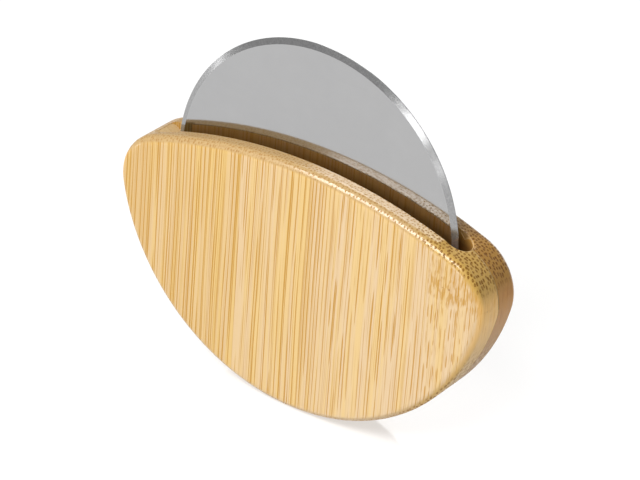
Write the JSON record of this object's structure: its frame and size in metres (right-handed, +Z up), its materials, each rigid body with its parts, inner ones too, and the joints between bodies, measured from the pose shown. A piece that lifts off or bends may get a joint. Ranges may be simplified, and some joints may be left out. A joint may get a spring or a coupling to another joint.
{
  "type": "pizza cutter",
  "caption": "Palm-held rolling pizza cutter: a steel wheel with a ground edge turns on an axle in the slot of a half-moon bamboo body glued from two halves.",
  "frame": {"origin": "under the axle, on the surface where the body stands on its round lower edge", "axes": "+X along the body, +Y along the axle away from the front face, +Z up towards the wheel"},
  "size_m": [0.1102, 0.016, 0.0985],
  "materials": {
    "bamboo": "sanded bamboo with a thin oil finish, grain across the body",
    "blade_steel": "finely polished stainless steel with a ground bevel",
    "pin_steel": "turned stainless steel",
    "hub_nylon": "natural nylon, matt",
    "dowel_wood": "plain turned wood"
  },
  "bodies": {
    "handle": {"front_half": "bamboo", "rear_half": "bamboo", "axle_pin": "pin_steel", "front_washer": "pin_steel", "rear_washer": "pin_steel", "left_upper_dowel": "dowel_wood", "left_lower_dowel": "dowel_wood", "right_lower_dowel": "dowel_wood", "right_upper_dowel": "dowel_wood"},
    "wheel": {"cutting_wheel": "blade_steel", "front_hub": "hub_nylon", "rear_hub": "hub_nylon"}
  },
  "joints": [
    {"name": "wheel_spin", "type": "hinge", "parent": "handle", "child": "wheel", "pos_m": [0, 0, 0.05597], "axis": [0, 1, 0], "continuous": true}
  ]
}
